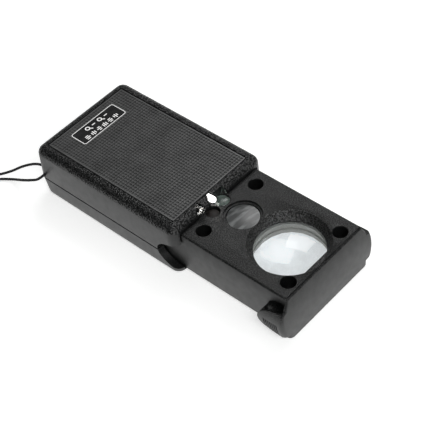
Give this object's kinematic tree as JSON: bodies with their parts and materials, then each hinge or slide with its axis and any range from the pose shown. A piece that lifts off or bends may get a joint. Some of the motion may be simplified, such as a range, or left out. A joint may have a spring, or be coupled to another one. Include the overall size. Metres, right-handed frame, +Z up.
{
  "type": "pull-out pocket magnifier with lamps",
  "caption": "Flat black case with a pull-out drawer that carries a large and a small lens, a white and an ultraviolet lamp, and a corner wrist strap, for checking banknotes.",
  "frame": {"origin": "on the surface it lies on, under the middle of the case and the pulled-out drawer; the wrist strap is not counted", "axes": "+Z up; +Y from the drawer's free end to the back of the case; +X across, to the right seen from the drawer's end"},
  "size_m": [0.0599, 0.1316, 0.019],
  "materials": {
    "case_plastic": "fine grain, satin",
    "drawer_plastic": "smooth satin",
    "inner_plastic": "matt",
    "label_film": "semi-gloss film",
    "clear_lens": "polished",
    "clear_resin": "polished",
    "filter_plastic": "dark, glossy",
    "board_laminate": "solder-mask film",
    "red_insulation": "smooth",
    "black_insulation": "smooth",
    "bright_steel": "bright",
    "cell_steel": "bright nickel plate",
    "leaf_brass": "bright",
    "strap_cord": "woven, matt"
  },
  "bodies": {
    "case": {"top_shell": "case_plastic", "bottom_shell": "case_plastic", "label_plate": "label_film", "case_screw_1": "bright_steel", "case_screw_2": "bright_steel", "white_lamp": "clear_resin", "white_lamp_lead_a": "bright_steel", "white_lamp_lead_b": "bright_steel", "uv_lamp": "clear_resin", "uv_lamp_lead_a": "bright_steel", "uv_lamp_lead_b": "bright_steel", "circuit_board": "board_laminate", "white_resistor": "black_insulation", "uv_resistor": "black_insulation", "battery_holder": "inner_plastic", "button_cell_1": "cell_steel", "button_cell_2": "cell_steel", "button_cell_3": "cell_steel", "battery_spring": "bright_steel", "battery_contact": "bright_steel", "battery_wire": "red_insulation", "switch_wire": "black_insulation", "switch_body": "inner_plastic", "auto_switch_leaf": "leaf_brass", "strap_cord": "strap_cord", "strap_knot": "strap_cord", "strap_coil": "strap_cord"},
    "drawer": {"tray_body": "drawer_plastic", "big_lens": "clear_lens", "small_lens": "clear_lens", "lens_carrier": "inner_plastic", "tray_screw_1": "bright_steel", "tray_screw_2": "bright_steel", "tray_screw_3": "bright_steel", "tray_screw_4": "bright_steel", "light_window": "clear_resin", "uv_filter": "filter_plastic", "big_lens_tube": "inner_plastic", "small_lens_tube": "inner_plastic"},
    "door": {"battery_door": "case_plastic", "door_contact": "bright_steel"},
    "selector": {"selector_knob": "drawer_plastic"}
  },
  "joints": [
    {"name": "drawer_slide", "type": "slide", "parent": "case", "child": "drawer", "axis": [0, 1, 0], "range_m": [0, 0.0389]},
    {"name": "door_slide", "type": "slide", "parent": "case", "child": "door", "axis": [0, 1, 0], "range_m": [0, 0.012]},
    {"name": "selector_slide", "type": "slide", "parent": "case", "child": "selector", "axis": [0, 1, 0], "range_m": [0, 0.0035]}
  ]
}
